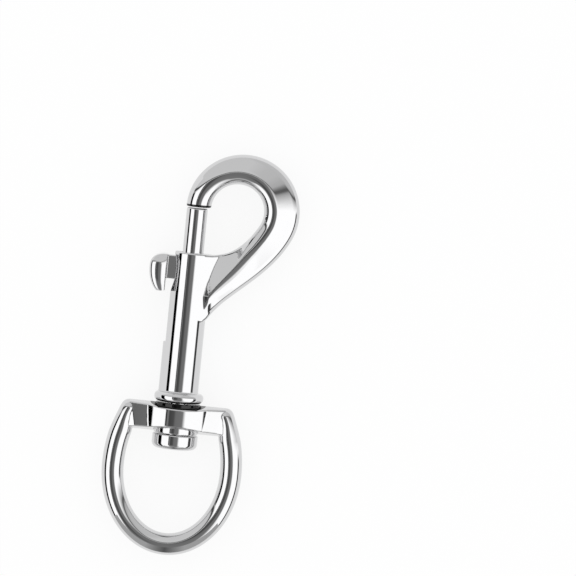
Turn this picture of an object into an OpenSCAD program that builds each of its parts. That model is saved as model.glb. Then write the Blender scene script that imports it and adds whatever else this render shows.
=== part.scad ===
// Swivel snap hook: a cast hook with a sliding latch bolt, a return spring,
// and a strap ring that turns on a headed stud.
// It lies flat: Y runs along the swivel axis to the nose, Z points out of the
// hook's plane, and the origin is the middle of the strap ring's eye.

/* [Strap ring] */
// Width of the eye that the strap passes through
eye_w = 21.5; // [16:0.5:26]
// Height of the eye from the ring's foot to the cross bar
eye_h = 22.7; // [20:0.5:28]
// Diameter of the round wire-like limbs
limb_d = 4.9; // [3.8:0.1:5.6]
// Distance between the ends of the cross bar at the shoulders
shoulder_w = 20.6; // [19.6:0.2:22]
// Diameter of the limbs where they end in the shoulders
limb_end_d = 3.8; // [3.2:0.1:4.4]
// Height of the eye's widest place above the middle of the eye
widest_y = 3; // [0:0.5:5]
// Height of the cross bar along the swivel axis
bar_h = 6.5; // [5.5:0.1:8]
// Thickness of the cross bar at the shoulders
bar_t = 3.8; // [3.2:0.1:4.4]
// Thickness of the hub in the middle of the bar
hub_t = 11; // [10.4:0.1:12.5]
// Radius of the hub's front and back faces
hub_face_r = 8.5; // [7.5:0.1:10]
// Slope of the bar's faces from the hub down to the shoulders in degrees
face_slope = 12; // [8:1:14]
// Lean of the bar's faces in degrees, thicker at the underside
face_lean = 4; // [2:1:6]
// Slope of the bar's upper side towards its faces in degrees
top_draft = 10; // [5:1:14]
// Slope of the bar's underside towards its faces in degrees
under_draft = 15; // [8:1:18]
// Height of the flat lands round the stud above the bar
land_h = 0.15; // [0.1:0.05:0.3]

/* [Swivel stud] */
// Diameter of the stud's shank
shank_d = 4.4; // [3.8:0.1:5]
// Diameter of the stud's head
head_d = 10.2; // [9:0.1:11]
// Height of the stud's head
head_h = 3.3; // [2.6:0.1:4.2]
// Radius of the rounded lower edge of the head
head_edge_r = 1.3; // [0.6:0.1:2]
// Length of the shank inside the barrel's foot
shank_grip = 4.2; // [3.4:0.1:4.6]

/* [Barrel] */
// Diameter of the barrel about the bolt
barrel_d = 8.4; // [8:0.1:9.4]
// Reach of the thicker wall beside the thumb slot from the bolt's axis
ridge_reach = 4.7; // [4.5:0.1:5]
// Radius of the rounded thicker wall beside the thumb slot
ridge_r = 2; // [1.7:0.1:2.3]
// Length of the barrel above its foot bead
barrel_len = 31.3; // [30:0.1:36]
// Diameter of the foot bead
bead_d = 11; // [10.2:0.1:12]
// Height of the foot bead
bead_h = 2.2; // [1.8:0.1:3]
// Thickness of the solid foot below the spring's bore
foot_t = 5; // [4.8:0.1:7]
// Width of the thumb slot
slot_w = 2.5; // [2.2:0.1:2.8]
// Length of the thumb slot from the barrel's top
slot_len = 20.2; // [17:0.1:22]
// Length of the hollow that lets the thumb reach the knob
thumb_hollow_len = 11; // [8:0.5:13]
// Distance from the bolt's axis to the floor of the thumb hollow
thumb_hollow_x = 3.4; // [3.2:0.05:3.8]

/* [Latch bolt] */
// Diameter of the bolt's round rod
rod_d = 4.7; // [4.2:0.1:5]
// Rounding at the rod's tip
tip_r = 0.35; // [0.2:0.05:0.8]
// Height of the stem that joins the rod to the knob
stem_h = 5.3; // [4:0.1:7]
// Distance from the barrel's top down to the stem
stem_drop = 0.9; // [0.5:0.1:2]
// Length of the rod below the stem
tail_len = 2; // [1:0.1:4]
// Reach of the knob's back from the bolt's axis
knob_back_x = 5.45; // [5.3:0.05:6.5]
// Thickness of the knob
knob_t = 3.85; // [3:0.05:5]
// Width of the knob across the slot
knob_w = 8; // [6:0.2:10]
// Height of the knob
knob_h = 9.1; // [7.5:0.1:10.5]
// Height of the knob's shoulder below its top
knob_shoulder = 3; // [2:0.1:4]

/* [Return spring] */
// Diameter of the spring's wire
wire_d = 0.55; // [0.4:0.05:0.6]
// Number of open turns
open_turns = 9; // [7:1:10]

/* [Hook arm] */
// Width of the gate between the barrel's top and the nose
gate_w = 10.25; // [9:0.25:11.5]
// Diameter of the round throat
throat_d = 11.8; // [10.8:0.1:12.6]
// Diameter of the hook's round outside
hook_d = 25.3; // [24.4:0.1:26.5]
// Distance from the bolt's axis to the throat's middle
throat_x = 8.95; // [8.6:0.05:9.4]
// Distance from the bolt's axis to the middle of the hook's outside
hook_x = 10.15; // [9.8:0.05:10.6]
// Thickness of the arm at its crest along the throat
arm_t = 6.4; // [5.8:0.1:7]
// Diameter of the round of the arm's crest
crest_d = 5; // [4.6:0.1:5.4]
// Thickness of the arm's rounded outer edge
edge_t = 4.4; // [3.6:0.1:4.6]
// Thickness of the web's edge above the barrel
web_edge_t = 2.6; // [1.8:0.1:3]
// Distance from the barrel's top down to the web's lower end
web_h = 14.3; // [12:0.1:17]

/* [Hidden] */
$fn = 48;

// Running clearances
swivel_gap = 0.2;
shank_clear = 0.05;
rod_clear = 0.08;
slot_clear = 0.1;
gate_clear = 0.2;
spring_clear = 0.2;
spring_seat = 0.03;

// Heights along the swivel axis, from the ring's foot to the nose
bar_low = eye_h / 2;
bar_top = bar_low + bar_h;
land_top = bar_top + land_h;
land_low = bar_low - land_h;
bead_low = land_top + swivel_gap;
barrel_low = bead_low + bead_h;
barrel_top = barrel_low + barrel_len;
bore_floor = bead_low + foot_t;
nose_y = barrel_top + gate_w;
slot_low = barrel_top - slot_len;
head_top = land_low - swivel_gap;

limb_r = limb_d / 2;
rod_r = rod_d / 2;
bore_r = rod_r + rod_clear;
barrel_r = barrel_d / 2;
shank_r = shank_d / 2;
land_r = head_d / 2 - 0.2;
overlap = 0.5;

// Turns a shape that was drawn along Z so that it runs along Y
module along_y(y) {
    translate([0, y, 0]) rotate([-90, 0, 0]) children();
}

function lerp(a, b, t) = a + (b - a) * t;
function smooth(a, b, t) = let (k = min(1, max(0, (t - a) / (b - a)))) k * k * (3 - 2 * k);
function bezier(p, t) =
    pow(1 - t, 3) * p[0] + 3 * pow(1 - t, 2) * t * p[1] + 3 * (1 - t) * t * t * p[2] + pow(t, 3) * p[3];
function arc(centre, r, from, to, steps) =
    [for (i = [0:steps]) let (a = lerp(from, to, i / steps)) centre + r * [cos(a), sin(a)]];
function flat_list(lists) = [for (part = lists) for (item = part) item];

// Closed tube through rings that all have the same number of points
module loft(rings) {
    n = len(rings[0]);
    last = len(rings) - 1;
    sides = [for (k = [0:last - 1]) for (i = [0:n - 1]) let (j = (i + 1) % n)
        [k * n + i, k * n + j, (k + 1) * n + j, (k + 1) * n + i]];
    triangles = [for (q = sides) for (t = [[q[0], q[1], q[2]], [q[0], q[2], q[3]]]) t];
    start = [for (i = [n - 1:-1:0]) i];
    end = [for (i = [0:n - 1]) last * n + i];
    polyhedron(points = flat_list(rings), faces = concat([start], triangles, [end]), convexity = 8);
}

// Strap ring

// Places along the limbs: an ellipse below the widest line and a taller one
// above it that ends at the shoulders of the cross bar
ring_a = eye_w / 2 + limb_r;
ring_low_b = widest_y + eye_h / 2 + limb_r;
limb_end_r = limb_end_d / 2;
limb_thinning = limb_r - limb_end_r;
shoulder_y = bar_top - limb_end_r - limb_thinning / 2;
ring_top_b = (shoulder_y - widest_y) / sqrt(1 - pow(shoulder_w / 2 / ring_a, 2));
ring_end_angle = acos(shoulder_w / 2 / ring_a);
ring_steps = 64;
ring_sides = 20;

function ring_b(a) = a > 0 && a < 180 ? ring_top_b : ring_low_b;
function ring_point(a) = [ring_a * cos(a), widest_y + ring_b(a) * sin(a)];
function ring_tangent(a) = let (v = [-ring_a * sin(a), ring_b(a) * cos(a)]) v / norm(v);
function limb_radius(y) = lerp(limb_r, limb_end_r, smooth(bar_low - 1, shoulder_y, y));
// The limbs keep their outer outline where they get thinner
function limb_ring(a, ahead, share) =
    let (
        p = ring_point(a),
        along = ring_tangent(a),
        out = [along[1], -along[0]],
        r = limb_radius(p[1]),
        centre = p + ahead * r * along + (limb_r - r) * out)
    [for (i = [0:ring_sides - 1]) let (q = 360 * i / ring_sides, side = centre + r * share * cos(q) * out)
        [side[0], side[1], r * share * sin(q)]];

module ring_limbs() {
    first = 180 - ring_end_angle;
    last = ring_end_angle;
    cap = [67, 45, 22];
    start = [for (q = cap) limb_ring(first, -sin(q), cos(q))];
    body = [for (i = [0:ring_steps]) let (a = lerp(first, last + 360, i / ring_steps))
        limb_ring(a > 360 ? a - 360 : a, 0, 1)];
    end = [for (i = [2:-1:0]) let (q = cap[i]) limb_ring(last, sin(q), cos(q))];
    loft(concat(start, body, end));
}

// Hub between two round faces, and a bar whose faces slope to the shoulders
hub_half = hub_t / 2;
hub_centre = hub_half - hub_face_r;

module hub() {
    along_y(bar_low - 1) intersection() {
        translate([0, hub_centre, 0]) cylinder(r = hub_face_r, h = bar_h + 2, $fn = 96);
        translate([0, -hub_centre, 0]) cylinder(r = hub_face_r, h = bar_h + 2, $fn = 96);
    }
}

function bar_plan(y, half_t) =
    let (x = shoulder_w / 2 + limb_thinning, z = half_t, mid_z = half_t + x * tan(face_slope))
    [[x, y, z], [0, y, mid_z], [-x, y, z], [-x, y, -z], [0, y, -mid_z], [x, y, -z]];

module bar() {
    spare = 1.5;
    lean = (bar_h / 2 + spare) * tan(face_lean);
    loft([bar_plan(bar_low - spare, bar_t / 2 + lean), bar_plan(bar_top + spare, bar_t / 2 - lean)]);
}

module bar_and_hub() {
    deep = hub_half + 1;
    intersection() {
        union() {
            hub();
            bar();
        }
        translate([-shoulder_w / 2 - 1, 0, 0]) rotate([0, 90, 0]) linear_extrude(shoulder_w + 2)
            polygon([
                [-deep, bar_low + deep * tan(under_draft)],
                [0, bar_low],
                [deep, bar_low + deep * tan(under_draft)],
                [deep, bar_top - deep * tan(top_draft)],
                [0, bar_top],
                [-deep, bar_top - deep * tan(top_draft)]
            ]);
    }
}

module swivel_ring() {
    color("silver") difference() {
        union() {
            ring_limbs();
            bar_and_hub();
            along_y(land_low) cylinder(r = land_r, h = land_top - land_low);
        }
        along_y(land_low - 1) cylinder(r = shank_r + shank_clear, h = land_top - land_low + 2);
    }
}

// Swivel stud, turned in one piece: head below the hub, shank up into the foot
module swivel_stud() {
    head_r = head_d / 2;
    head_low = head_top - head_h;
    profile = concat(
        [[0, head_low]],
        arc([head_r - head_edge_r, head_low + head_edge_r], head_edge_r, 270, 360, 8),
        [[head_r, head_top], [shank_r, head_top], [shank_r, bead_low + shank_grip], [0, bead_low + shank_grip]]);
    color("silver") rotate([-90, 0, 0]) rotate_extrude() polygon([for (p = profile) [p[0], p[1]]]);
}

// Hook body

// Outside of the barrel: a cylinder about the bolt and a smaller one along the
// slot's wall, joined by flats that lie a little inside the common tangents
ridge_x = ridge_reach - ridge_r;
flat_angle = acos((barrel_r - ridge_r) / ridge_x);
flat_inset = 0.995;

module barrel_outside() {
    big = barrel_r * flat_inset;
    small = ridge_r * flat_inset;
    h = barrel_top - bead_low - overlap;
    along_y(bead_low + overlap) {
        cylinder(r = barrel_r, h = h);
        translate([-ridge_x, 0, 0]) cylinder(r = ridge_r, h = h);
        linear_extrude(h) polygon([
            [-big * cos(flat_angle), big * sin(flat_angle)],
            [-ridge_x - small * cos(flat_angle), small * sin(flat_angle)],
            [-ridge_x - small * cos(flat_angle), -small * sin(flat_angle)],
            [-big * cos(flat_angle), -big * sin(flat_angle)]
        ]);
    }
}

// Round bead at the barrel's foot, with a rounded rim
module foot_bead() {
    edge = bead_h * 0.45;
    bead_r = bead_d / 2;
    along_y(bead_low) rotate_extrude() polygon(concat(
        [[0, 0]],
        arc([bead_r - edge, edge], edge, 270, 360, 6),
        arc([bead_r - edge, bead_h - edge], edge, 0, 90, 6),
        [[0, bead_h]]));
}

// Arm: at each station the section is a row of circles and the flats that touch
// them: inner edge, a pair for the crest on both faces, and outer edge
round_stations = 26;
web_stations = 13;
section_sides = 28;
nose_blend = 0.32;
inner_turn = 30;
outer_turn = 25;
crest_r = crest_d / 2;
crest_lift = (arm_t - crest_d) / 2;
edge_r = edge_t / 2;
web_edge_r = web_edge_t / 2;
web_top = barrel_top - 0.1;
crest_drop = 0.3;
crest_at_barrel = web_h * 0.69;

function on_circle(x, r, a) = [x + r * cos(a), nose_y + r * sin(a)];
function heading(a) = [sin(a), -cos(a)];
function inner_web() = let (p = on_circle(throat_x, throat_d / 2, -inner_turn))
    [p, p + 5 * heading(-inner_turn), [barrel_r + 4.2, web_top], [barrel_r - 0.3, web_top]];
function outer_web() =
    let (p = on_circle(hook_x, hook_d / 2, -outer_turn), end = [barrel_r + 0.4, barrel_top - web_h])
    [p, p + 10 * heading(-outer_turn), end + 6.5 * [0.5, 0.87], end];

// One station: inner point, outer point, crest distance, the radii of inner
// edge, crest and outer edge, and the height of the crest's circles
function round_station(t) =
    let (
        inner = on_circle(throat_x, throat_d / 2, lerp(180, -inner_turn, t)),
        outer = on_circle(hook_x, hook_d / 2, lerp(180, -outer_turn, t)),
        k = smooth(0, nose_blend, t),
        round_r = norm(outer - inner) / 2,
        r = lerp(round_r, crest_r, k))
    [inner, outer, r, r, r, lerp(round_r, edge_r, k), crest_lift * k];
function web_station(t) =
    let (
        inner = bezier(inner_web(), t),
        outer = bezier(outer_web(), t),
        k = max(0, (t - crest_drop) / (1 - crest_drop)),
        inner_r = lerp(crest_r, web_edge_r, smooth(0.2, 0.8, t)))
    [inner, outer, lerp(crest_r, crest_at_barrel, k * k), inner_r, crest_r, edge_r, crest_lift];
function root_station() =
    let (inner = [bore_r, web_top], outer = [bore_r, barrel_top - web_h - 2])
    [inner, outer, crest_at_barrel, web_edge_r, crest_r, edge_r, crest_lift];

// Point of the outline round the circles whose normal has the angle q
function section_point(w, s, q) =
    let (
        outer_r = min(s[5], w - s[2]),
        circles = [[s[3], s[3], 0], [s[2], s[4], s[6]], [w - outer_r, outer_r, 0]],
        reach = [for (c = circles) c[0] * cos(q) + c[2] * abs(sin(q)) + c[1]],
        best = max(reach),
        c = reach[0] == best ? circles[0] : reach[2] == best ? circles[2] : circles[1])
    [c[0] + c[1] * cos(q), c[2] * sign(sin(q)) + c[1] * sin(q)];
function arm_section(s) =
    let (
        across = s[1] - s[0],
        w = norm(across),
        dir = across / w,
        outline = [for (i = [0:section_sides - 1]) section_point(w, s, 180 - 360 * i / section_sides)])
    [for (p = outline) [s[0][0] + dir[0] * p[0], s[0][1] + dir[1] * p[0], p[1]]];

module arm() {
    stations = concat(
        [for (i = [0:round_stations]) round_station(i / round_stations)],
        [for (i = [1:web_stations]) web_station(i / web_stations)],
        [root_station()]);
    loft([for (s = stations) arm_section(s)]);
}

// Hollow beside the knob, cut straight across the slot's wall
module thumb_hollow() {
    sag = ridge_reach - thumb_hollow_x;
    r = (pow(thumb_hollow_len / 2, 2) + sag * sag) / (2 * sag);
    translate([-thumb_hollow_x - r, barrel_top - thumb_hollow_len / 2 + 1.4, -barrel_r]) cylinder(r = r, h = barrel_d);
}

module hook_body() {
    color("gainsboro") difference() {
        union() {
            barrel_outside();
            foot_bead();
            arm();
        }
        along_y(bore_floor) cylinder(r = bore_r, h = barrel_top - bore_floor + 1);
        along_y(bead_low - 1) cylinder(r = shank_r, h = shank_grip + 1);
        translate([-ridge_reach - 1, slot_low, -slot_w / 2]) cube([ridge_reach + 1, slot_len + 1, slot_w]);
        thumb_hollow();
    }
}

// Latch bolt: rod, stem and thumb knob, cast in one piece
stem_top = barrel_top - stem_drop;
stem_low = stem_top - stem_h;
rod_low = stem_low - tail_len;
stem_t = slot_w - 2 * slot_clear;
knob_top = stem_top + 0.2;
knob_middle = knob_top - knob_shoulder;
knob_low = knob_top - knob_h;
knob_rows = 14;
knob_tip_share = 0.6;

module rod() {
    top = nose_y - gate_clear;
    rotate([-90, 0, 0]) rotate_extrude() polygon(concat(
        [[0, rod_low], [rod_r - tip_r, rod_low], [rod_r, rod_low + tip_r]],
        arc([rod_r - tip_r, top - tip_r], tip_r, 0, 90, 5),
        [[0, top]]));
}

// Share of the knob's full thickness at a height, fuller above its shoulder
function knob_share(y) =
    y > knob_middle
        ? pow(max(0, 1 - pow((y - knob_middle) / (knob_top - knob_middle), 2.6)), 1 / 2.6)
        : sqrt(max(0, 1 - pow((knob_middle - y) / (knob_middle - knob_low), 2)));
function knob_row(y) =
    let (
        k = max(0.12, knob_share(y)),
        a = knob_t * k * 0.55,
        b = knob_w / 2 * lerp(knob_tip_share, 1, k),
        cx = -knob_back_x - knob_t * k + a)
    [for (i = [0:23]) let (q = i * 15) [min(-knob_back_x, cx - a * cos(q)), y, -b * sin(q)]];

module knob() {
    heights = [for (i = [0:knob_rows]) let (q = lerp(-86, 80, i / knob_rows))
        q < 0 ? knob_middle + sin(q) * (knob_middle - knob_low) : knob_middle + sin(q) * (knob_top - knob_middle)];
    loft([for (y = heights) knob_row(y)]);
}

module latch_bolt() {
    color("silver") union() {
        rod();
        translate([-knob_back_x - overlap, stem_low, -stem_t / 2]) cube([knob_back_x + overlap, stem_h, stem_t]);
        knob();
    }
}

// Return spring: round wire, closed turns at both ends, between the foot and the bolt
spring_r = bore_r - spring_clear - wire_d / 2;
turn_steps = 16;
wire_sides = 6;
closed_pitch = wire_d * 1.1;

module return_spring() {
    low = bore_floor + spring_seat + wire_d / 2;
    high = rod_low - spring_seat - wire_d / 2;
    open_pitch = (high - low - 2 * closed_pitch) / open_turns;
    turns = open_turns + 2;
    function height(n) =
        n < 1 ? low + n * closed_pitch
        : n > turns - 1 ? high - (turns - n) * closed_pitch
        : low + closed_pitch + (n - 1) * open_pitch;
    color("slategray") loft([for (i = [0:turns * turn_steps]) let (n = i / turn_steps, a = 360 * n)
        [for (j = [0:wire_sides - 1]) let (q = -360 * j / wire_sides, r = spring_r + wire_d / 2 * cos(q))
            [r * cos(a), height(n) + wire_d / 2 * sin(q), -r * sin(a)]]]);
}

hook_body();
latch_bolt();
return_spring();
swivel_stud();
swivel_ring();
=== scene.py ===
import math
import bpy
import numpy as np
import openvdb
from mathutils import Matrix, Vector

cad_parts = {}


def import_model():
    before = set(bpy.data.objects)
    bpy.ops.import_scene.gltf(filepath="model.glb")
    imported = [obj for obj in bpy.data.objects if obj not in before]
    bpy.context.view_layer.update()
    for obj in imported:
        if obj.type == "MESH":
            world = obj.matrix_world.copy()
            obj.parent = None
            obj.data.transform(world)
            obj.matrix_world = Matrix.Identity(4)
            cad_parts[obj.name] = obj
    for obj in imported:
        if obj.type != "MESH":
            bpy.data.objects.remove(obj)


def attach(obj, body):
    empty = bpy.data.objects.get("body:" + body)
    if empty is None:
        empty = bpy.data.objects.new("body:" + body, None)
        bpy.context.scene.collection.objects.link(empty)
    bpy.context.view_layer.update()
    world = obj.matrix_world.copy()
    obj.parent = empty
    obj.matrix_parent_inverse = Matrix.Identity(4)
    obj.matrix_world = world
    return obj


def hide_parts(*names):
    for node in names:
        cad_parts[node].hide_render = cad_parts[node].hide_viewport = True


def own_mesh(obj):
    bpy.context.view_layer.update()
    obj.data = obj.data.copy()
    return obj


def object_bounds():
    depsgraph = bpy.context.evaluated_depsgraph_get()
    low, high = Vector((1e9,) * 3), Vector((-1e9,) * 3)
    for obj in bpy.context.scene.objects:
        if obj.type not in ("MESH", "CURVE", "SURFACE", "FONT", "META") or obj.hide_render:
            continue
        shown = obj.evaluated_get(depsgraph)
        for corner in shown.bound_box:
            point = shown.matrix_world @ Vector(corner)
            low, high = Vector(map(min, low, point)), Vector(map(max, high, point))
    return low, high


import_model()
CAD_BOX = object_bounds()

# Lengths are in millimetres, unless a comment says otherwise
MM = 0.001

# Driving sizes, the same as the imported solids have
EYE_W, EYE_H, LIMB_D, SHOULDER_W, WIDEST_Y = 21.5, 22.7, 4.9, 20.6, 3.0
BAR_H, HUB_T, LIMB_END_D = 6.5, 11.0, 3.8
FACE_SLOPE, FACE_LEAN = math.tan(math.radians(12)), math.tan(math.radians(4))
TOP_DRAFT, UNDER_DRAFT, LAND_H = math.radians(10), math.radians(15), 0.15
SHANK_D, HEAD_D, HEAD_H, HEAD_EDGE_R, SHANK_GRIP = 4.4, 10.2, 3.3, 1.3, 4.2
BARREL_D, RIDGE_REACH, RIDGE_R, BARREL_LEN = 8.4, 4.7, 2.0, 31.3
BEAD_D, BEAD_H, FOOT_T = 11.0, 2.2, 5.0
SLOT_W, SLOT_LEN, HOLLOW_LEN, HOLLOW_X = 2.5, 20.2, 11.0, 3.4
ROD_D, TIP_R, STEM_H, STEM_DROP, TAIL_LEN = 4.7, 0.35, 5.3, 0.9, 2.0
KNOB_BACK_X, KNOB_T, KNOB_W, KNOB_H, KNOB_SHOULDER = 5.45, 3.85, 8.0, 9.1, 3.0
WIRE_D, OPEN_TURNS = 0.55, 9
GATE_W, THROAT_D, HOOK_D, THROAT_X, HOOK_X = 10.25, 11.8, 25.3, 8.95, 10.15
ARM_T, CREST_D, EDGE_T, WEB_EDGE_T, WEB_H = 6.4, 5.0, 4.4, 2.6, 14.3
SWIVEL_GAP, SHANK_CLEAR, ROD_CLEAR, SLOT_CLEAR, GATE_CLEAR = 0.2, 0.05, 0.08, 0.1, 0.2
SPRING_CLEAR, SPRING_SEAT = 0.2, 0.03

# Heights along the swivel axis
BAR_LOW = EYE_H / 2
BAR_TOP = BAR_LOW + BAR_H
LAND_TOP = BAR_TOP + LAND_H
LAND_LOW = BAR_LOW - LAND_H
BEAD_LOW = LAND_TOP + SWIVEL_GAP
BARREL_LOW = BEAD_LOW + BEAD_H
BARREL_TOP = BARREL_LOW + BARREL_LEN
BORE_FLOOR = BEAD_LOW + FOOT_T
NOSE_Y = BARREL_TOP + GATE_W
SLOT_LOW = BARREL_TOP - SLOT_LEN
HEAD_TOP = LAND_LOW - SWIVEL_GAP
LIMB_R, ROD_R, BARREL_R, SHANK_R = LIMB_D / 2, ROD_D / 2, BARREL_D / 2, SHANK_D / 2
BORE_R = ROD_R + ROD_CLEAR

# Grids of the smooth surfaces: their steps, the space round a piece, the level beyond them
VOXEL, BOLT_VOXEL = 0.2, 0.15
MARGIN = 0.6
GRID_BEYOND = 5.0
# A distance that lies outside every blend
OUTSIDE = 9.0


def lerp(a, b, t):
    return a + (b - a) * t


def ease(a, b, t):
    k = np.clip((t - a) / (b - a), 0, 1)
    return k * k * (3 - 2 * k)


def full_turn(steps):
    return np.arange(steps) * 2 * math.pi / steps


def sine_sign(q):
    """Sign of the sine, and 0 where only rounding keeps it from 0."""
    return np.sign(np.round(np.sin(q), 9))


# Field helpers: distances, negative inside

def blend_min(a, b, k):
    h = np.maximum(k - np.abs(a - b), 0) / k
    return np.minimum(a, b) - h ** 3 * k / 6


def blend_max(a, b, k):
    return -blend_min(-a, -b, k)


def slab(v, low, high):
    return np.maximum(low - v, v - high)


def round_box_2d(u, v, half_u, half_v, r):
    qu = np.abs(u) - half_u + r
    qv = np.abs(v) - half_v + r
    return np.hypot(np.maximum(qu, 0), np.maximum(qv, 0)) + np.minimum(np.maximum(qu, qv), 0) - r


def two_circle_hull(x, z, r_a, r_b, gap):
    """Distance to the hull of a circle r_a at 0 and a circle r_b at -gap along x."""
    px, py = np.abs(z), -x
    b = (r_a - r_b) / gap
    a = math.sqrt(1 - b * b)
    k = -b * px + a * py
    near = np.hypot(px, py) - r_a
    far = np.hypot(px, py - gap) - r_b
    side = px * a + py * b - r_a
    return np.where(k < 0, near, np.where(k > a * gap, far, side))


def polyline_distance(x, y, pts):
    best = np.full(x.shape, 1e9)
    for (ax, ay), (bx, by) in zip(pts[:-1], pts[1:]):
        dx, dy = bx - ax, by - ay
        t = np.clip(((x - ax) * dx + (y - ay) * dy) / (dx * dx + dy * dy), 0, 1)
        best = np.minimum(best, (x - ax - t * dx) ** 2 + (y - ay - t * dy) ** 2)
    return np.sqrt(best)


def sampler(values, origin, step):
    """Smooth lookup of a regular grid of values."""
    top = np.array(values.shape) - 2

    def look(p):
        g = (p - origin) / step
        i = np.clip(np.floor(g).astype(int), 0, top)
        f = np.clip(g - i, 0, 1)
        out = 0
        for corner in range(8):
            o = np.array([corner & 1, corner >> 1 & 1, corner >> 2 & 1])
            w = np.prod(np.where(o == 1, f, 1 - f), axis=1)
            c = i + o
            out = out + w * values[c[:, 0], c[:, 1], c[:, 2]]
        return out
    return look


def loft_mesh(rings):
    """Points, quads and end triangles of a closed tube through rings of points."""
    rings = np.asarray(rings, dtype=float)
    n_ring, n = rings.shape[:2]
    pts = rings.reshape(-1, 3)
    k = np.arange(n_ring - 1)[:, None] * n
    i = np.arange(n)[None, :]
    j = (i + 1) % n
    quads = np.stack([k + i, k + j, k + n + j, k + n + i], axis=-1).reshape(-1, 4)
    centres = np.array([rings[0].mean(axis=0), rings[-1].mean(axis=0)])
    low = len(pts)
    i = np.arange(n)
    j = (i + 1) % n
    last = (n_ring - 1) * n
    caps = np.concatenate([
        np.stack([np.full(n, low), j, i], axis=-1),
        np.stack([np.full(n, low + 1), last + i, last + j], axis=-1)])
    return np.concatenate([pts, centres]), quads, caps


def loft_field(rings, step, band=10):
    """Distance field of a closed tube, exact within a band of steps round its surface."""
    pts, quads, caps = loft_mesh(rings)
    origin = pts.min(axis=0) - step * (band + 1)
    size = np.ceil((pts.max(axis=0) - origin) / step).astype(int) + band + 2
    grid = openvdb.FloatGrid.createLevelSetFromPolygons(
        ((pts - origin) / step).astype(np.float32), caps.astype(np.uint32),
        quads.astype(np.uint32), halfWidth=float(band))
    values = np.empty(size, dtype=np.float32)
    grid.copyToArray(values)
    return sampler(values * step, origin, step)


def gradient(field, p, h):
    """Unit directions of the field's slope, and the slope."""
    g = np.empty_like(p)
    for a in range(3):
        d = np.zeros(3)
        d[a] = h
        g[:, a] = (field(p + d) - field(p - d)) / (2 * h)
    slope = np.maximum(np.linalg.norm(g, axis=1), 1e-3)
    return g / slope[:, None], slope


def face_list(*groups):
    return [tuple(map(int, f)) for group in groups for f in group]


def solid(name, field, low, high, step=VOXEL):
    """Mesh of the surface where the field is zero, with exact normals."""
    axes = [np.arange(a - MARGIN, b + MARGIN + step, step) for a, b in zip(low, high)]
    values = np.empty([len(a) for a in axes], dtype=np.float32)
    yy, zz = np.meshgrid(axes[1], axes[2], indexing="ij")
    flat = np.stack([np.zeros(yy.size), yy.ravel(), zz.ravel()], axis=-1)
    for i, x in enumerate(axes[0]):
        flat[:, 0] = x
        values[i] = field(flat).reshape(yy.shape)
    grid = openvdb.FloatGrid(GRID_BEYOND)
    grid.copyFromArray(values)
    pts, tris, quads = grid.convertToPolygons(isovalue=0.0, adaptivity=0.0)
    pts = np.asarray(pts, dtype=float) * step + np.array([a[0] for a in axes])
    for _ in range(3):
        g, slope = gradient(field, pts, 0.5 * step)
        pts = pts - np.clip(field(pts) / slope, -step / 2, step / 2)[:, None] * g
    normals = gradient(field, pts, 0.6 * step)[0]
    faces = face_list(quads, tris)
    a, b, c = (pts[[f[i] for f in faces]] for i in range(3))
    first_normals = normals[[f[0] for f in faces]]
    if np.einsum("ij,ij->i", np.cross(b - a, c - a), first_normals).sum() < 0:
        faces = [f[::-1] for f in faces]
    return mesh_object(name, pts, faces, normals)


def mesh_object(name, pts, faces, normals=None):
    mesh = bpy.data.meshes.new(name)
    mesh.from_pydata((np.asarray(pts) * MM).tolist(), [], faces)
    mesh.validate()
    mesh.shade_smooth()
    if normals is not None and len(mesh.vertices) == len(normals):
        mesh.normals_split_custom_set_from_vertices(normals.tolist())
    obj = bpy.data.objects.new(name, mesh)
    bpy.context.scene.collection.objects.link(obj)
    return obj


def loft_object(name, rings):
    pts, quads, caps = loft_mesh(rings)
    return mesh_object(name, pts, face_list(quads, caps))


# Strap ring: a tube along the limbs' line, with the cross bar and the hub

RING_STEPS = 420
LIMB_END_R = LIMB_END_D / 2
LIMB_THINNING = LIMB_R - LIMB_END_R
LIMB_THINS_FROM = BAR_LOW - 1
SHOULDER_Y = BAR_TOP - LIMB_END_R - LIMB_THINNING / 2
# Rounder hub face, thicker bar and slanting bar ends, as the photo shows them
HUB_SEEN_R = 9.7
BAR_SEEN_T = 4.35
BAR_END_X, BAR_END_SLOPE = 10.0, math.radians(28)
# Inset of the land's rim from the stud's head
LAND_INSET = 0.2
HUB_BLEND, BAR_EDGE, BAR_END_BLEND, LAND_BLEND, LIMB_BLEND = 0.12, 0.5, 0.12, 0.2, 0.15
HOLE_EDGE = 0.15
# Added to z squared, which rounds creases in the middle plane
CREASE_ROUNDING = 0.01
# Turns the height above a sloping face into a distance
FACE_SCALE = 0.975
# Grid of the distances to the limbs' line, and what it spans beyond the limbs and the bar
PLAN_STEP = 0.1
PLAN_ASIDE, PLAN_BELOW, PLAN_ABOVE = 3, 2, 5


def limb_radius(y):
    return lerp(LIMB_R, LIMB_END_R, ease(LIMB_THINS_FROM, SHOULDER_Y, y))


def ring_centre_line():
    """Line along the limbs, moved out where they get thinner."""
    a = EYE_W / 2 + LIMB_R
    low_b = WIDEST_Y + EYE_H / 2 + LIMB_R
    share = SHOULDER_W / 2 / a
    top_b = (SHOULDER_Y - WIDEST_Y) / math.sqrt(1 - share * share)
    end = math.acos(share)
    angles = np.linspace(math.pi - end, 2 * math.pi + end, RING_STEPS)
    b = np.where(np.sin(angles) > 0, top_b, low_b)
    line = np.stack([a * np.cos(angles), WIDEST_Y + b * np.sin(angles)], axis=-1)
    along = np.stack([-a * np.sin(angles), b * np.cos(angles)], axis=-1)
    out = np.stack([along[:, 1], -along[:, 0]], axis=-1) / np.linalg.norm(along, axis=1)[:, None]
    return line + (LIMB_R - limb_radius(line[:, 1]))[:, None] * out


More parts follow.
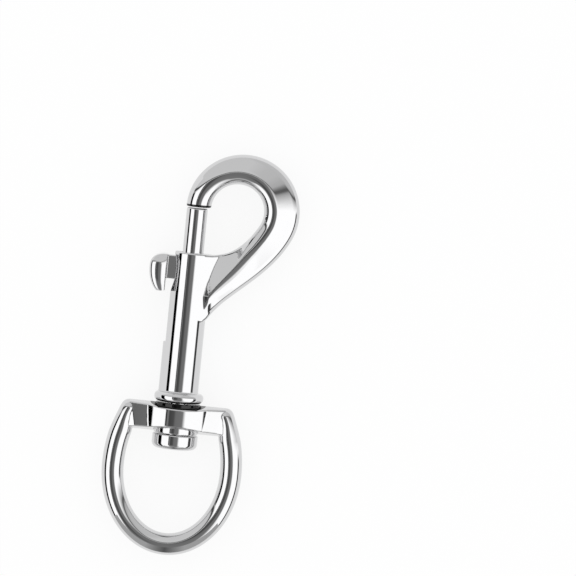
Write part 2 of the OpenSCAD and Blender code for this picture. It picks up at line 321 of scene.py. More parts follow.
def limb_line_distance():
    """Lookup of the distance to the limbs' line, for points in the middle plane."""
    line = ring_centre_line()
    reach = EYE_W / 2 + LIMB_D + PLAN_ASIDE
    xs = np.arange(-reach, reach, PLAN_STEP)
    ys = np.arange(line[:, 1].min() - LIMB_D - PLAN_BELOW, BAR_TOP + PLAN_ABOVE, PLAN_STEP)
    gx, gy = np.meshgrid(xs, ys, indexing="ij")
    plane = np.repeat(polyline_distance(gx, gy, line)[:, :, None], 2, axis=2)
    return sampler(plane, np.array([xs[0], ys[0], 0.0]), PLAN_STEP)


def ring_field():
    line_distance = limb_line_distance()
    bar_end = SHOULDER_W / 2 + LIMB_THINNING
    bar_middle = (BAR_LOW + BAR_TOP) / 2
    corner_z = BAR_SEEN_T / 2 + (bar_end - BAR_END_X) * FACE_SLOPE

    def field(p):
        x, y, z = p[:, 0], p[:, 1], p[:, 2]
        flat = p.copy()
        flat[:, 2] = 0
        limb_r = limb_radius(y)
        limbs = np.hypot(line_distance(flat), z * limb_r / LIMB_R) - limb_r
        ax, az = np.abs(x), np.sqrt(z * z + CREASE_ROUNDING)
        hub = np.hypot(x, az + HUB_SEEN_R - HUB_T / 2) - HUB_SEEN_R
        face = BAR_SEEN_T / 2 + (bar_end - ax) * FACE_SLOPE - (y - bar_middle) * FACE_LEAN
        end_face = ((ax - BAR_END_X) * math.sin(BAR_END_SLOPE)
                    + (az - corner_z) * math.cos(BAR_END_SLOPE))
        bar = blend_max((az - face) * FACE_SCALE, end_face, BAR_END_BLEND)
        bar = np.maximum(bar, ax - bar_end)
        plan = blend_min(hub, bar, HUB_BLEND)
        top = (y - BAR_TOP) * math.cos(TOP_DRAFT) + az * math.sin(TOP_DRAFT)
        under = (BAR_LOW - y) * math.cos(UNDER_DRAFT) + az * math.sin(UNDER_DRAFT)
        block = blend_max(blend_max(plan, top, BAR_EDGE), under, BAR_EDGE)
        rim = np.hypot(x, z)
        land = np.maximum(rim - HEAD_D / 2 + LAND_INSET, slab(y, LAND_LOW, LAND_TOP))
        block = blend_min(block, land, LAND_BLEND)
        body = blend_min(block, limbs, LIMB_BLEND)
        hole = np.where(y > 0, SHANK_R + SHANK_CLEAR - rim, -OUTSIDE)
        return blend_max(body, hole, HOLE_EDGE)
    return field


def make_ring():
    reach = EYE_W / 2 + LIMB_D
    low = (-reach, -EYE_H / 2 - LIMB_D, -HUB_T / 2)
    return solid("ring_surface", ring_field(), low, (reach, LAND_TOP, HUB_T / 2))


# Hook body: the lofted arm on the barrel, which has a bead at its foot

# Arm: sections along the round part and along the web, points round a section, grid
ROUND_STATIONS, WEB_STATIONS, SECTION_SIDES = 220, 120, 144
ARM_STEP, ARM_BAND = 0.16, 15
CREST_R, EDGE_R, WEB_EDGE_R = CREST_D / 2, EDGE_T / 2, WEB_EDGE_T / 2
CREST_LIFT = (ARM_T - CREST_D) / 2
# The nose: its spare length, its end face's edge, the share of the turn until it has a crest
NOSE_SPARE, NOSE_EDGE, NOSE_BLEND = 1.0, 0.6, 0.32
# Where the web begins on the throat's circle and on the hook's circle
INNER_TURN, OUTER_TURN = math.radians(30), math.radians(25)
# Bezier handles of the web's inner and outer line, and where these lines end
INNER_PULL, INNER_HANDLE_X, INNER_END_X = 5, BARREL_R + 4.2, BARREL_R - 0.3
OUTER_PULL, OUTER_END_PULL, OUTER_END_X = 10, 6.5, BARREL_R + 0.4
OUTER_END_HEADING = np.array([0.5, 0.87])
WEB_TOP = BARREL_TOP - 0.1
WEB_LOW = BARREL_TOP - WEB_H
# The last section lies in the barrel, lower and deeper than the web's end
INSIDE_DROP, CREST_SINK = 2, 0.45
# Along the web: where the crest begins to drop, and where edges and ridge take their form
CREST_DROP, CREST_AT_BARREL = 0.3, WEB_H * 0.66
EDGE_SPAN, RIDGE_SPAN, RIDGE_FADE_SPAN = (0.2, 0.8), (0.15, 0.7), (0.75, 1)
# The ridge: sharp on its inner side, soft on its outer side, weaker at the barrel
RIDGE_SHARP_R, RIDGE_AT_BARREL = 0.9, 0.6
# The soft side's radius is this share of the widest that fits, up to a most
RIDGE_SOFT_SHARE, RIDGE_SOFT_MOST = 0.97, 8.0
# Small cove where the web leaves the barrel
COVE_ANGLE, COVE_FROM_X, COVE_EDGE, COVE_BLEND = math.radians(34), 3.6, 0.7, 0.25
# The barrel starts inside the bead, and the hollow's middle lies above its length's middle
BARREL_INSIDE, HOLLOW_RISE, BEAD_ROUND_SHARE = 0.4, 1.4, 0.45
BARREL_EDGE, BEAD_BLEND, SLOT_EDGE, HOLLOW_EDGE, BORE_EDGE = 0.5, 0.5, 0.35, 0.5, 0.25
# Heights between barrel and nose at which a form stops or starts, clear of the others
COVE_STOP, SLOT_STOP, NOSE_FROM, BORE_STOP = (
    BARREL_TOP + 1, BARREL_TOP + 3, BARREL_TOP + 4, NOSE_Y - 3)


def bezier(p, t):
    p = np.asarray(p)
    u = 1 - t
    return u ** 3 * p[0] + 3 * u ** 2 * t * p[1] + 3 * u * t * t * p[2] + t ** 3 * p[3]


def on_circle(x, r, a):
    return np.array([x + r * math.cos(a), NOSE_Y + r * math.sin(a)])


def on_throat(a):
    return on_circle(THROAT_X, THROAT_D / 2, a)


def on_hook(a):
    return on_circle(HOOK_X, HOOK_D / 2, a)


def heading(a):
    """Direction of travel at angle a, when a circle is followed clockwise."""
    return np.array([math.sin(a), -math.cos(a)])


def arm_stations():
    """Sections of the arm, from the nose to inside the barrel.

    Each is its inner point, outer point, the crest's distance from the inner point, the
    radii of inner edge, crest and outer edge, the height and the ridge's share.
    """
    start = on_throat(math.pi), on_hook(math.pi)
    round_r = np.linalg.norm(start[1] - start[0]) / 2
    yield (*(p - [0, NOSE_SPARE] for p in start), *[round_r] * 5, 0)
    for i in range(ROUND_STATIONS + 1):
        t = i / ROUND_STATIONS
        inner = on_throat(lerp(math.pi, -INNER_TURN, t))
        outer = on_hook(lerp(math.pi, -OUTER_TURN, t))
        k = ease(0, NOSE_BLEND, t)
        round_r = np.linalg.norm(outer - inner) / 2
        r = lerp(round_r, CREST_R, k)
        yield inner, outer, r, r, r, lerp(round_r, EDGE_R, k), r + CREST_LIFT * k, 0
    start_in, start_out = on_throat(-INNER_TURN), on_hook(-OUTER_TURN)
    end_out = np.array([OUTER_END_X, WEB_LOW])
    inner_web = [start_in, start_in + INNER_PULL * heading(-INNER_TURN),
                 [INNER_HANDLE_X, WEB_TOP], [INNER_END_X, WEB_TOP]]
    outer_web = [start_out, start_out + OUTER_PULL * heading(-OUTER_TURN),
                 end_out + OUTER_END_PULL * OUTER_END_HEADING, end_out]
    for i in range(1, WEB_STATIONS + 1):
        t = i / WEB_STATIONS
        k = max(0, (t - CREST_DROP) / (1 - CREST_DROP))
        crest = lerp(CREST_R, CREST_AT_BARREL, k * k)
        inner_r = lerp(CREST_R, WEB_EDGE_R, ease(*EDGE_SPAN, t))
        ridge = ease(*RIDGE_SPAN, t) * lerp(1, RIDGE_AT_BARREL, ease(*RIDGE_FADE_SPAN, t))
        yield (bezier(inner_web, t), bezier(outer_web, t), crest, inner_r, CREST_R, EDGE_R,
               ARM_T / 2, ridge)
    yield (np.array([BORE_R, WEB_TOP]), np.array([BORE_R, WEB_LOW - INSIDE_DROP]),
           CREST_AT_BARREL, WEB_EDGE_R, CREST_R, EDGE_R, ARM_T / 2 - CREST_SINK,
           RIDGE_AT_BARREL)


def arm_section(inner, outer, crest, inner_r, crest_r, edge_r, height, ridge):
    """Points round one section: the hull of its inner edge, its two crests and its outer edge.

    On the outer side the crest's circle is large, and stops where the flank to the outer
    edge begins.
    """
    across = outer - inner
    w = np.linalg.norm(across)
    outer_r = min(edge_r, w - crest)
    flank = w - outer_r - crest
    widest_r = (flank ** 2 + height ** 2 - outer_r ** 2) / (2 * max(height - outer_r, 1.0))
    sharp_r = lerp(crest_r, RIDGE_SHARP_R, ridge)
    soft_r = min(RIDGE_SOFT_MOST, max(crest_r, RIDGE_SOFT_SHARE * widest_r))
    soft_r = lerp(crest_r, soft_r, ridge)
    flank_end = math.sin(math.atan2(soft_r - height, flank))
    q = math.pi - full_turn(SECTION_SIDES)
    centres = np.array([inner_r, crest, w - outer_r])[:, None] + 0 * q
    radii = np.stack([inner_r + 0 * q, np.where(np.cos(q) < 0, sharp_r, soft_r), outer_r + 0 * q])
    lifts = np.stack([0 * q, height - radii[1], 0 * q])
    reach = centres * np.cos(q) + lifts * np.abs(np.sin(q)) + radii
    reach[1] = np.where((np.cos(q) > 0) & (np.abs(np.sin(q)) < flank_end), 0, reach[1])
    pick = np.argmax(reach, axis=0), np.arange(SECTION_SIDES)
    s = centres[pick] + radii[pick] * np.cos(q)
    z = lifts[pick] * sine_sign(q) + radii[pick] * np.sin(q)
    xy = inner + np.outer(s, across / w)
    return np.column_stack([xy, z])


def hook_field():
    arm = loft_field([arm_section(*s) for s in arm_stations()], ARM_STEP, ARM_BAND)
    cove_across, cove_ahead = math.sin(COVE_ANGLE), math.cos(COVE_ANGLE)
    ridge_x = RIDGE_REACH - RIDGE_R
    sag = RIDGE_REACH - HOLLOW_X
    hollow_r = ((HOLLOW_LEN / 2) ** 2 + sag * sag) / (2 * sag)
    hollow_y = BARREL_TOP - HOLLOW_LEN / 2 + HOLLOW_RISE
    bead_r = BEAD_H * BEAD_ROUND_SHARE

    def field(p):
        x, y, z = p[:, 0], p[:, 1], p[:, 2]
        az = np.abs(z)
        rim = np.hypot(x, z)
        barrel = two_circle_hull(x, z, BARREL_R, RIDGE_R, ridge_x)
        barrel = blend_max(barrel, slab(y, BEAD_LOW + BARREL_INSIDE, BARREL_TOP), BARREL_EDGE)
        cove = x * cove_across + az * cove_ahead - BARREL_R
        cove = np.maximum(cove, az * cove_across - x * cove_ahead)
        flat = np.column_stack([np.maximum(x, COVE_FROM_X), y, 0 * z])
        cove = blend_max(cove, arm(flat), COVE_EDGE)
        barrel = np.minimum(barrel, np.where(y < COVE_STOP, cove, OUTSIDE))
        body = blend_min(barrel, arm(p), COVE_BLEND)
        nose_end = np.where((x < THROAT_X) & (y > NOSE_FROM), NOSE_Y - y, -OUTSIDE)
        body = blend_max(body, nose_end, NOSE_EDGE)
        bead = round_box_2d(rim, y - BEAD_LOW - BEAD_H / 2, BEAD_D / 2, BEAD_H / 2, bead_r)
        body = blend_min(body, bead, BEAD_BLEND)
        slot = np.maximum(np.maximum(az - SLOT_W / 2, SLOT_LOW - y), x)
        slot = np.where(y > SLOT_STOP, OUTSIDE, slot)
        body = blend_max(body, -slot, SLOT_EDGE)
        hollow = np.hypot(x + HOLLOW_X + hollow_r, y - hollow_y) - hollow_r
        body = blend_max(body, -hollow, HOLLOW_EDGE)
        bore = np.maximum(rim - BORE_R, BORE_FLOOR - y)
        bore = np.where(y > BORE_STOP, OUTSIDE, bore)
        body = blend_max(body, -bore, BORE_EDGE)
        foot = np.maximum(rim - SHANK_R, y - BEAD_LOW - SHANK_GRIP)
        return np.maximum(body, -foot)
    return field


def make_hook():
    low = (-BEAD_D / 2, BEAD_LOW, -BEAD_D / 2)
    high = (HOOK_X + HOOK_D / 2, NOSE_Y + HOOK_D / 2, BEAD_D / 2)
    return solid("hook_surface", hook_field(), low, high)


# Latch bolt: the round rod with its stem and the lofted thumb knob

STEM_TOP = BARREL_TOP - STEM_DROP
STEM_LOW = STEM_TOP - STEM_H
ROD_LOW = STEM_LOW - TAIL_LEN
KNOB_TOP = STEM_TOP + 0.2
KNOB_MIDDLE = KNOB_TOP - KNOB_SHOULDER
KNOB_LOW = KNOB_TOP - KNOB_H
# Loft: points round a section, sections between two angles in degrees, grid step
KNOB_SIDES, KNOB_SECTIONS, KNOB_ARC, KNOB_STEP = 96, 90, (-88, 84), 0.12
# Upper outline's power, least section, half thickness, width of the tips, depth of the caps
KNOB_POWER, KNOB_LEAST, KNOB_HALF_SHARE, KNOB_TIP_SHARE, KNOB_CAP = 2.6, 0.16, 0.55, 0.6, 0.62
# Slanting cuts at the knob's upper corners
KNOB_CUT_Y, KNOB_CUT_SLOPE, KNOB_CUT_INSET = 49.35, math.radians(40), 0.1
# How far the stem reaches into the knob
STEM_IN_KNOB = 0.5
STEM_EDGE, KNOB_BACK_EDGE, KNOB_CUT_EDGE, KNOB_BLEND = 0.25, 0.35, 0.15, 0.3


def knob_rings():
    q = full_turn(KNOB_SIDES)
    for a in np.radians(np.linspace(*KNOB_ARC, KNOB_SECTIONS)):
        reach = KNOB_MIDDLE - KNOB_LOW if a < 0 else KNOB_TOP - KNOB_MIDDLE
        y = KNOB_MIDDLE + math.sin(a) * reach
        t = abs(y - KNOB_MIDDLE) / reach
        if a > 0:
            share = (1 - t ** KNOB_POWER) ** (1 / KNOB_POWER)
        else:
            share = math.sqrt(max(0, 1 - t * t))
        k = max(KNOB_LEAST, share)
        half_x = KNOB_T * k * KNOB_HALF_SHARE
        middle_x = -KNOB_BACK_X - KNOB_T * k + half_x
        cap = KNOB_CAP * half_x
        deep = KNOB_W / 2 * lerp(KNOB_TIP_SHARE, 1, k) - cap
        yield np.column_stack([middle_x - half_x * np.cos(q), np.full(KNOB_SIDES, y),
                               -deep * sine_sign(q) - cap * np.sin(q)])


def bolt_field():
    knob = loft_field(list(knob_rings()), KNOB_STEP)
    top = NOSE_Y - GATE_CLEAR
    middle = (top + ROD_LOW) / 2
    half = (top - ROD_LOW) / 2
    stem_t = SLOT_W - 2 * SLOT_CLEAR
    stem_x = -(KNOB_BACK_X + STEM_IN_KNOB) / 2
    stem_y = (STEM_TOP + STEM_LOW) / 2

    def field(p):
        x, y, z = p[:, 0], p[:, 1], p[:, 2]
        rod = round_box_2d(np.hypot(x, z), y - middle, ROD_R, half, TIP_R)
        stem = round_box_2d(z, y - stem_y, stem_t / 2, STEM_H / 2, STEM_EDGE)
        stem = np.maximum(stem, np.abs(x - stem_x) + stem_x)
        cut = ((np.abs(z) - KNOB_W / 2 + KNOB_CUT_INSET) * math.cos(KNOB_CUT_SLOPE)
               + (y - KNOB_CUT_Y) * math.sin(KNOB_CUT_SLOPE))
        grip = blend_max(knob(p), x + KNOB_BACK_X, KNOB_BACK_EDGE)
        grip = blend_max(grip, cut, KNOB_CUT_EDGE)
        return blend_min(np.minimum(rod, stem), grip, KNOB_BLEND)
    return field


def make_bolt():
    # Known fault: KNOB_LOW lies below ROD_LOW, so the grid cuts the knob's lower end off
    low = (-KNOB_BACK_X - KNOB_T, ROD_LOW, -KNOB_W / 2)
    high = (ROD_R, NOSE_Y - GATE_CLEAR, KNOB_W / 2)
    return solid("bolt_surface", bolt_field(), low, high, BOLT_VOXEL)


# Swivel stud and return spring

STUD_SIDES, AXIS_R, HEAD_UNDER_R, STUD_SHARP = 192, 0.01, 0.3, math.radians(40)
WIRE_SIDES, TURN_STEPS = 20, 48
# Height of a closed turn at each end, in wire thicknesses
CLOSED_TURN = 1.1


def arc_points(cx, cy, r, start, stop, steps):
    a = np.radians(np.linspace(start, stop, steps))
    return np.stack([cx + r * np.cos(a), cy + r * np.sin(a)], axis=-1)


def make_stud():
    r = HEAD_D / 2
    low = HEAD_TOP - HEAD_H
    shank_top = BEAD_LOW + SHANK_GRIP
    profile = np.concatenate([
        [[AXIS_R, low]],
        arc_points(r - HEAD_EDGE_R, low + HEAD_EDGE_R, HEAD_EDGE_R, 270, 360, 24),
        arc_points(r - HEAD_UNDER_R, HEAD_TOP - HEAD_UNDER_R, HEAD_UNDER_R, 0, 90, 8),
        [[SHANK_R, HEAD_TOP], [SHANK_R, shank_top], [AXIS_R, shank_top]]])
    a = full_turn(STUD_SIDES)
    obj = loft_object("stud_surface", [
        np.column_stack([rim * np.cos(a), np.full(STUD_SIDES, y), rim * np.sin(a)])
        for rim, y in profile])
    obj.data.set_sharp_from_angle(angle=STUD_SHARP)
    return obj


def make_spring():
    coil_r = BORE_R - SPRING_CLEAR - WIRE_D / 2
    low = BORE_FLOOR + SPRING_SEAT + WIRE_D / 2
    high = ROD_LOW - SPRING_SEAT - WIRE_D / 2
    closed = WIRE_D * CLOSED_TURN
    turns = OPEN_TURNS + 2
    q = -full_turn(WIRE_SIDES)
    rings = []
    for n in np.linspace(0, turns, turns * TURN_STEPS + 1):
        height = np.interp(n, [0, 1, turns - 1, turns], [low, low + closed, high - closed, high])
        a = 2 * math.pi * n
        r = coil_r + WIRE_D / 2 * np.cos(q)
        y = height + WIRE_D / 2 * np.sin(q)
        rings.append(np.column_stack([r * math.cos(a), y, -r * math.sin(a)]))
    return loft_object("spring_surface", rings)


# Materials

CHROME = (0.67, 0.67, 0.675)
CHROME_ROUGH_LOW, CHROME_ROUGH_HIGH = 0.03, 0.06
# Haze patches: their scale, their noise levels, and how far they darken
HAZE_SCALE, HAZE_FROM, HAZE_TO, HAZE_TINT = 140.0, 0.3, 0.7, 0.97
# Orange peel: its scale, strength, and depth in metres
PEEL_SCALE, PEEL_STRENGTH, PEEL_DEPTH = 420.0, 0.03, 0.00001
# Painted shade on the faces in the gaps: height along Y, half the band, distances from the Y axis
# from and to
GAP_PAINTED_SHADE = (0.04, 0.04, 0.04)
HOOK_SHADED_GAPS = [(NOSE_Y, 0.55, 2.2, 6.0), (BEAD_LOW, 0.3, 0.0, 5.6)]
RING_SHADED_GAPS = [(BAR_TOP, 0.95, 0.0, 6.2)]
WIRE_SCALE, WIRE_ROUGH = 900.0, 0.28
WIRE_DARK, WIRE_LIGHT = (0.28, 0.28, 0.29, 1), (0.46, 0.46, 0.48, 1)


def math_node(tree, operation, a, b=None, clamp=False):
    node = tree.nodes.new("ShaderNodeMath")
    node.operation = operation
    node.use_clamp = clamp
    for socket, value in zip(node.inputs, (a, b)):
        if value is None:
            continue
        if isinstance(value, (int, float)):
            socket.default_value = value
        else:
            tree.links.new(value, socket)
    return node.outputs[0]


def noise(tree, coord, scale, detail):
    node = tree.nodes.new("ShaderNodeTexNoise")
    node.inputs["Scale"].default_value = scale
    node.inputs["Detail"].default_value = detail
    tree.links.new(coord.outputs["Object"], node.inputs["Vector"])
    return node.outputs["Fac"]


def metal(name):
    """A new metal: its material, tree, shader and object coordinates."""
    mat = bpy.data.materials.new(name)
    mat.use_nodes = True
    tree = mat.node_tree
    shader = tree.nodes["Principled BSDF"]
    shader.inputs["Metallic"].default_value = 1.0
    return mat, tree, shader, tree.nodes.new("ShaderNodeTexCoord")


def shaded_gap_mask(tree, coord, height, half, start, reach):
    """1 in the band round a height along Y and between two distances from the Y axis."""
    place = tree.nodes.new("ShaderNodeSeparateXYZ")
    tree.links.new(coord.outputs["Object"], place.inputs[0])
    x, y, z = place.outputs
    off = math_node(tree, "ABSOLUTE", math_node(tree, "SUBTRACT", y, height * MM))
    squares = math_node(tree, "MULTIPLY", x, x), math_node(tree, "MULTIPLY", z, z)
    rim = math_node(tree, "SQRT", math_node(tree, "ADD", *squares))
    near = math_node(tree, "MULTIPLY", math_node(tree, "LESS_THAN", off, half * MM),
                     math_node(tree, "LESS_THAN", rim, reach * MM))
    return math_node(tree, "MULTIPLY", near, math_node(tree, "GREATER_THAN", rim, start * MM))


def plated(name, shaded_gaps=()):
    """Bright plating: near mirror, with faint haze patches, a slight peel and painted shade on
    the gap faces.
    """
    mat, tree, shader, coord = metal(name)
    haze = noise(tree, coord, HAZE_SCALE, 4.0)
    rough = tree.nodes.new("ShaderNodeMapRange")
    rough.inputs["From Min"].default_value = HAZE_FROM
    rough.inputs["From Max"].default_value = HAZE_TO
    rough.inputs["To Min"].default_value = CHROME_ROUGH_LOW
    rough.inputs["To Max"].default_value = CHROME_ROUGH_HIGH
    tree.links.new(haze, rough.inputs["Value"])
    tree.links.new(rough.outputs["Result"], shader.inputs["Roughness"])
    shade = tree.nodes.new("ShaderNodeMixRGB")
    shade.inputs["Color1"].default_value = (*CHROME, 1)
    shade.inputs["Color2"].default_value = (*[c * HAZE_TINT for c in CHROME], 1)
    tree.links.new(haze, shade.inputs["Fac"])
    colour = shade.outputs["Color"]
    # Painted shade: the colour in each gap band is darkened to near black, to stand in for the
    # shade between the parts
    for gap in shaded_gaps:
        gap_shade = tree.nodes.new("ShaderNodeMixRGB")
        gap_shade.inputs["Color2"].default_value = (*GAP_PAINTED_SHADE, 1)
        tree.links.new(shaded_gap_mask(tree, coord, *gap), gap_shade.inputs["Fac"])
        tree.links.new(colour, gap_shade.inputs["Color1"])
        colour = gap_shade.outputs["Color"]
    tree.links.new(colour, shader.inputs["Base Color"])
    bump = tree.nodes.new("ShaderNodeBump")
    bump.inputs["Strength"].default_value = PEEL_STRENGTH
    bump.inputs["Distance"].default_value = PEEL_DEPTH
    tree.links.new(noise(tree, coord, PEEL_SCALE, 2.0), bump.inputs["Height"])
    tree.links.new(bump.outputs["Normal"], shader.inputs["Normal"])
    return mat


def spring_steel():
    mat, tree, shader, coord = metal("spring_steel")
    ramp = tree.nodes.new("ShaderNodeValToRGB")
    ramp.color_ramp.elements[0].color = WIRE_DARK
    ramp.color_ramp.elements[1].color = WIRE_LIGHT
    tree.links.new(noise(tree, coord, WIRE_SCALE, 3.0), ramp.inputs["Fac"])
    tree.links.new(ramp.outputs["Color"], shader.inputs["Base Color"])
    shader.inputs["Roughness"].default_value = WIRE_ROUGH
    return mat


def dress(obj, mat, slot, body, *nodes):
    obj.data.materials.append(mat)
    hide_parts(*nodes)
    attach(obj, body)


dress(make_hook(), plated("casting_chrome", HOOK_SHADED_GAPS), "plated_casting", "hook", "hook_body")
dress(make_ring(), plated("ring_chrome", RING_SHADED_GAPS), "plated_ring", "ring", "swivel_ring")
dress(make_bolt(), plated("bolt_chrome"), "plated_bolt", "bolt", "latch_bolt")
dress(make_stud(), plated("stud_chrome"), "plated_stud", "hook", "swivel_stud")
spring = make_spring()
dress(spring, spring_steel(), "spring_wire", "hook", "return_spring")
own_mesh(spring)


# Studio: a light tent and a card with a painted shadow that only reflections show, a white floor
# and a white world.
# Its places and sizes are in metres, and its angles in degrees.

TENT_R, TENT_LEVEL = 2.0, 1.5
WORLD_LEVEL = 1.05
FLOOR_R, FLOOR_Z = 1.6, CAD_BOX[0][2] - 0.00002
FLOOR_PAPER, FLOOR_GLOW = 0.92, 0.85
# Card before the ring's foot, which paints a shadow in its reflection, with its levels at the
# middle and further out
CARD_Y, CARD_WIDTH, CARD_HEIGHT = -0.03, 0.08, 0.03
CARD_SHADOW_LEVELS = [(0.0, 0.12), (0.25, 0.48)]

# Levels across the tent, from the -X side over the top to the +X side
SIDES = [(-92, 0.5), (-89.8, 0.5), (-89.5, 0.0), (-70, 0.0), (-67, 1.0), (72, 1.0), (75, 0.04),
         (89.5, 0.04), (90, 0.5)]
# Dark roof panel, with a black left border and a fade at the right
PANEL = SIDES[:5] + [(-31, 1.0), (-29.5, 0.02), (-26.5, 0.03), (-25.5, 0.16), (-22, 0.16),
                     (-20, 0.05), (-8, 0.07), (-3, 0.14), (15, 0.16), (23, 1.0)] + SIDES[5:]
# Grey strip that carries the panel on towards the -Y end
STRIP = SIDES[:5] + [(-34, 1.0), (-24, 0.14), (16, 0.16), (32, 1.0)] + SIDES[5:]
# Levels along the tent beyond the white sides: -Y end, and +Y end for the -X and +X halves
LOW_END = [(-90, 0.5), (-72, 0.5), (-69, 0.08), (-63, 0.08), (-60, 0.45), (-45, 0.45)]
HIGH_END = [(13, 0.5), (15.5, 0.3), (16.5, 0.03), (19.5, 0.03), (21.5, 0.54), (90, 0.52)]
HIGH_END_RIGHT = [(3, 1.0), (7.5, 0.78), (12, 0.5), (15, 0.34), (17, 0.09), (18.5, 0.09),
                  (20.5, 0.22), (22.5, 0.38), (30, 0.46), (90, 0.5)]
# Shares of these patterns: the last across the tent, the others along it
PANEL_SHARE = [(12, 1.0), (15, 0.0)]
STRIP_SHARE = [(-24, 1.0), (-18, 0.0)]
LOW_SHARE = [(-58, 1.0), (-42, 0.0)]
HIGH_SHARE = [(13, 0.0), (15.5, 1.0)]
RIGHT_HIGH_SHARE = [(1, 0.0), (5, 1.0)]
RIGHT_SHARE = [(8, 0.0), (22, 1.0)]


def grey(level):
    return (level, level, level, 1)


def angle_ramp(tree, angle, stops):
    """Brightness for an angle between -180 and 180 degrees, straight between stops."""
    ramp = tree.nodes.new("ShaderNodeValToRGB")
    unit = math_node(tree, "ADD", math_node(tree, "DIVIDE", angle, 360.0), 0.5)
    tree.links.new(unit, ramp.inputs["Fac"])
    elements = ramp.color_ramp.elements
    for element, (at, level) in zip(elements, (stops[0], stops[-1])):
        element.position = at / 360 + 0.5
        element.color = grey(level)
    for at, level in stops[1:-1]:
        elements.new(at / 360 + 0.5).color = grey(level)
    return ramp.outputs["Color"]


def mix_color(tree, fac, a, b):
    node = tree.nodes.new("ShaderNodeMixRGB")
    tree.links.new(fac, node.inputs["Fac"])
    tree.links.new(a, node.inputs["Color1"])
    tree.links.new(b, node.inputs["Color2"])
    return node.outputs["Color"]


def studio_material(obj, name):
    """New material on a studio object: its empty tree and its surface socket."""
    mat = bpy.data.materials.new(name)
    mat.use_nodes = True
    tree = mat.node_tree
    tree.nodes.clear()
    obj.data.materials.append(mat)
    return tree, tree.nodes.new("ShaderNodeOutputMaterial").inputs["Surface"]


def position(tree):
    return tree.nodes.new("ShaderNodeNewGeometry").outputs["Position"]


def split_xyz(tree, vector):
    node = tree.nodes.new("ShaderNodeSeparateXYZ")
    tree.links.new(vector, node.inputs[0])
    return node.outputs


def shine(tree, colour, level, surface):
    light = tree.nodes.new("ShaderNodeEmission")
    tree.links.new(colour, light.inputs["Color"])
    light.inputs["Strength"].default_value = level
    tree.links.new(light.outputs[0], surface)


def show_in_reflections_only(obj):
    obj.visible_camera = False
    obj.visible_diffuse = False
    obj.visible_shadow = False


def tent_colour(tree):
    unit = tree.nodes.new("ShaderNodeVectorMath")
    unit.operation = "NORMALIZE"
    tree.links.new(position(tree), unit.inputs[0])
    x, y, z = split_xyz(tree, unit.outputs[0])
    to_degrees = 180 / math.pi
    across = math_node(tree, "MULTIPLY", math_node(tree, "ARCTAN2", x, z), to_degrees)
    along = math_node(tree, "MULTIPLY", math_node(tree, "ARCSINE", y), to_degrees)

    def mix(below, above, angle, share):
        return mix_color(tree, angle_ramp(tree, angle, share), below, above)

    def ramp(angle, stops):
        return angle_ramp(tree, angle, stops)

    panel = mix(ramp(across, SIDES), ramp(across, PANEL), along, PANEL_SHARE)
    lower = mix(panel, ramp(across, STRIP), along, STRIP_SHARE)
    lower = mix(lower, ramp(along, LOW_END), along, LOW_SHARE)
    left = mix(lower, ramp(along, HIGH_END), along, HIGH_SHARE)
    right = mix(lower, ramp(along, HIGH_END_RIGHT), along, RIGHT_HIGH_SHARE)
    return mix(left, right, across, RIGHT_SHARE)


def tent():
    """Light tent round the object: white sides, a grey end wall, dark panels between."""
    bpy.ops.mesh.primitive_uv_sphere_add(segments=64, ring_count=32, radius=TENT_R)
    obj = bpy.context.object
    obj.name = "studio_tent"
    tree, surface = studio_material(obj, "tent_light")
    shine(tree, tent_colour(tree), TENT_LEVEL, surface)
    show_in_reflections_only(obj)


def card():
    """Dark card in front of the ring's foot: a painted shadow, darkest in the middle, that only
    the plating's reflections show.
    """
    bpy.ops.mesh.primitive_plane_add(size=1, location=(0, CARD_Y, CARD_HEIGHT / 2),
                                     rotation=(math.pi / 2, 0, 0))
    obj = bpy.context.object
    obj.name = "studio_shadow_card"
    obj.scale = (CARD_WIDTH, CARD_HEIGHT, 1)
    tree, surface = studio_material(obj, "painted_shadow_card")
    off = math_node(tree, "ABSOLUTE", split_xyz(tree, position(tree))[0])
    shade = tree.nodes.new("ShaderNodeValToRGB")
    tree.links.new(math_node(tree, "DIVIDE", off, CARD_WIDTH / 2), shade.inputs["Fac"])
    for element, (at, level) in zip(shade.color_ramp.elements, CARD_SHADOW_LEVELS):
        element.position = at
        element.color = grey(level)
    # Painted shadow: the card glows dark grey, darkest in the middle, and the ring's foot
    # reflects it as a shadow
    shine(tree, shade.outputs["Color"], 1.0, surface)
    show_in_reflections_only(obj)


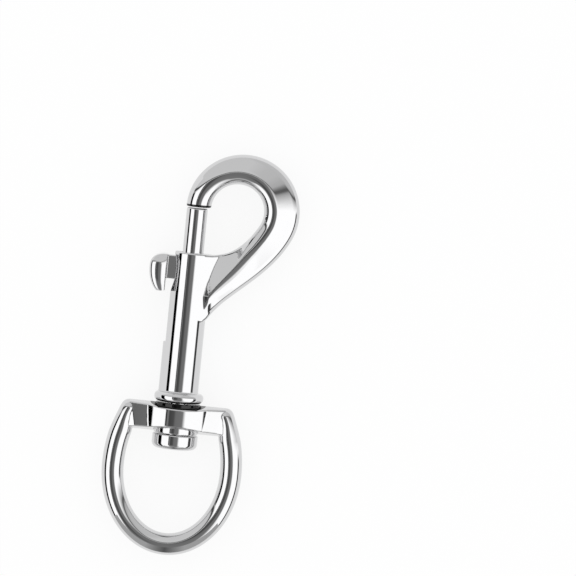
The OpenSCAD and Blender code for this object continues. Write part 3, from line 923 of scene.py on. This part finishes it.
def floor():
    """White floor, lit like paper, that glows for the camera and for reflections."""
    bpy.ops.mesh.primitive_circle_add(vertices=128, radius=FLOOR_R, fill_type="NGON",
                                      location=(0, 0, FLOOR_Z))
    obj = bpy.context.object
    obj.name = "studio_floor"
    tree, surface = studio_material(obj, "floor_white")
    paper = tree.nodes.new("ShaderNodeBsdfDiffuse")
    paper.inputs["Color"].default_value = grey(FLOOR_PAPER)
    glow = tree.nodes.new("ShaderNodeEmission")
    glow.inputs["Color"].default_value = grey(1)
    rays = tree.nodes.new("ShaderNodeLightPath")
    seen = math_node(tree, "ADD", rays.outputs["Is Camera Ray"], rays.outputs["Is Glossy Ray"])
    seen = math_node(tree, "ADD", seen, rays.outputs["Is Transmission Ray"], clamp=True)
    mix = tree.nodes.new("ShaderNodeMixShader")
    tree.links.new(math_node(tree, "MULTIPLY", seen, FLOOR_GLOW), mix.inputs["Fac"])
    tree.links.new(paper.outputs[0], mix.inputs[1])
    tree.links.new(glow.outputs[0], mix.inputs[2])
    tree.links.new(mix.outputs[0], surface)


def world():
    scene_world = bpy.data.worlds.new("studio_world")
    scene_world.use_nodes = True
    back = scene_world.node_tree.nodes["Background"]
    back.inputs["Color"].default_value = grey(1)
    back.inputs["Strength"].default_value = WORLD_LEVEL
    bpy.context.scene.world = scene_world


tent()
card()
floor()
world()


# Camera: a long lens that looks down on the lying hook

# The photo's scale, its size, and where it shows the point AXIS_Y on the swivel axis
PX_PER_MM = 4.489
FRAME_PX = 576
AXIS_PX = (177.9, 405.1)
AXIS_Y = BAR_TOP - 0.3
LEAN, CAMERA_TILT = math.radians(5.7), math.radians(3.5)
# Metres
CAMERA_DISTANCE, CLIP_END = 1.2, 20
SENSOR_MM = 36


def camera():
    right = (FRAME_PX / 2 - AXIS_PX[0]) / PX_PER_MM
    up = (AXIS_PX[1] - FRAME_PX / 2) / PX_PER_MM
    x = right * math.cos(LEAN) - up * math.sin(LEAN)
    y = AXIS_Y + right * math.sin(LEAN) + up * math.cos(LEAN)
    target = Vector((x, y, 0)) * MM
    data = bpy.data.cameras.new("camera")
    data.sensor_width = SENSOR_MM
    half_frame = FRAME_PX / PX_PER_MM / 2 * MM
    data.lens = SENSOR_MM / 2 * CAMERA_DISTANCE / half_frame
    data.clip_end = CLIP_END
    obj = bpy.data.objects.new("camera", data)
    bpy.context.scene.collection.objects.link(obj)
    back = Vector((0, math.sin(CAMERA_TILT), math.cos(CAMERA_TILT)))
    up_axis = Vector((0, math.cos(CAMERA_TILT), -math.sin(CAMERA_TILT)))
    up_axis = Matrix.Rotation(LEAN, 3, back) @ up_axis
    side = up_axis.cross(back)
    turn = Matrix((side, up_axis, back)).transposed().to_4x4()
    obj.matrix_world = Matrix.Translation(target + back * CAMERA_DISTANCE) @ turn
    bpy.context.scene.camera = obj


camera()
bpy.context.scene.view_settings.view_transform = "Standard"
